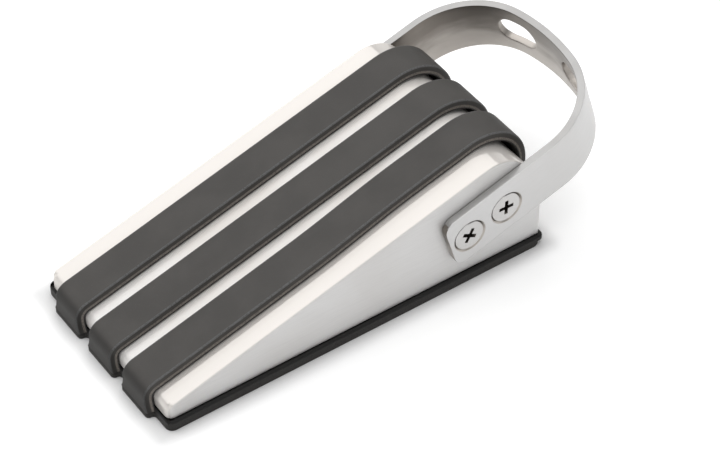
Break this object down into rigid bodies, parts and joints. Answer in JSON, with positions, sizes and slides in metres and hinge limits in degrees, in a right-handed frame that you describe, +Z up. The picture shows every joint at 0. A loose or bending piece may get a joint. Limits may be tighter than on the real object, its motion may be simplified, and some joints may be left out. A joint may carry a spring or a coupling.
{
  "type": "door wedge",
  "caption": "Door wedge with a sloping brushed steel shell on a black rubber sole, dark rubber straps over its top and a bent steel strip loop handle with slots.",
  "frame": {"origin": "middle of the whole object's box, at the floor", "axes": "+X along the wedge from its low nose to the loop handle, +Z up, -Y the left side seen from the handle"},
  "size_m": [0.125, 0.0524, 0.0356],
  "materials": {
    "shell_steel": "satin, finely brushed",
    "handle_steel": "satin",
    "fastener_steel": "bright plated",
    "strap_rubber": "matte dark grey",
    "sole_rubber": "matte black"
  },
  "bodies": {
    "root": {"wedge_shell": "shell_steel", "rubber_sole": "sole_rubber", "strap_left": "strap_rubber", "strap_middle": "strap_rubber", "strap_right": "strap_rubber", "handle_band": "handle_steel", "screw_left_front": "fastener_steel", "screw_left_rear": "fastener_steel", "screw_right_front": "fastener_steel", "screw_right_rear": "fastener_steel", "spring_washer_left_front": "fastener_steel", "spring_washer_left_rear": "fastener_steel", "spring_washer_right_front": "fastener_steel", "spring_washer_right_rear": "fastener_steel", "nut_left_front": "fastener_steel", "nut_left_rear": "fastener_steel", "nut_right_front": "fastener_steel", "nut_right_rear": "fastener_steel"}
  },
  "joints": []
}
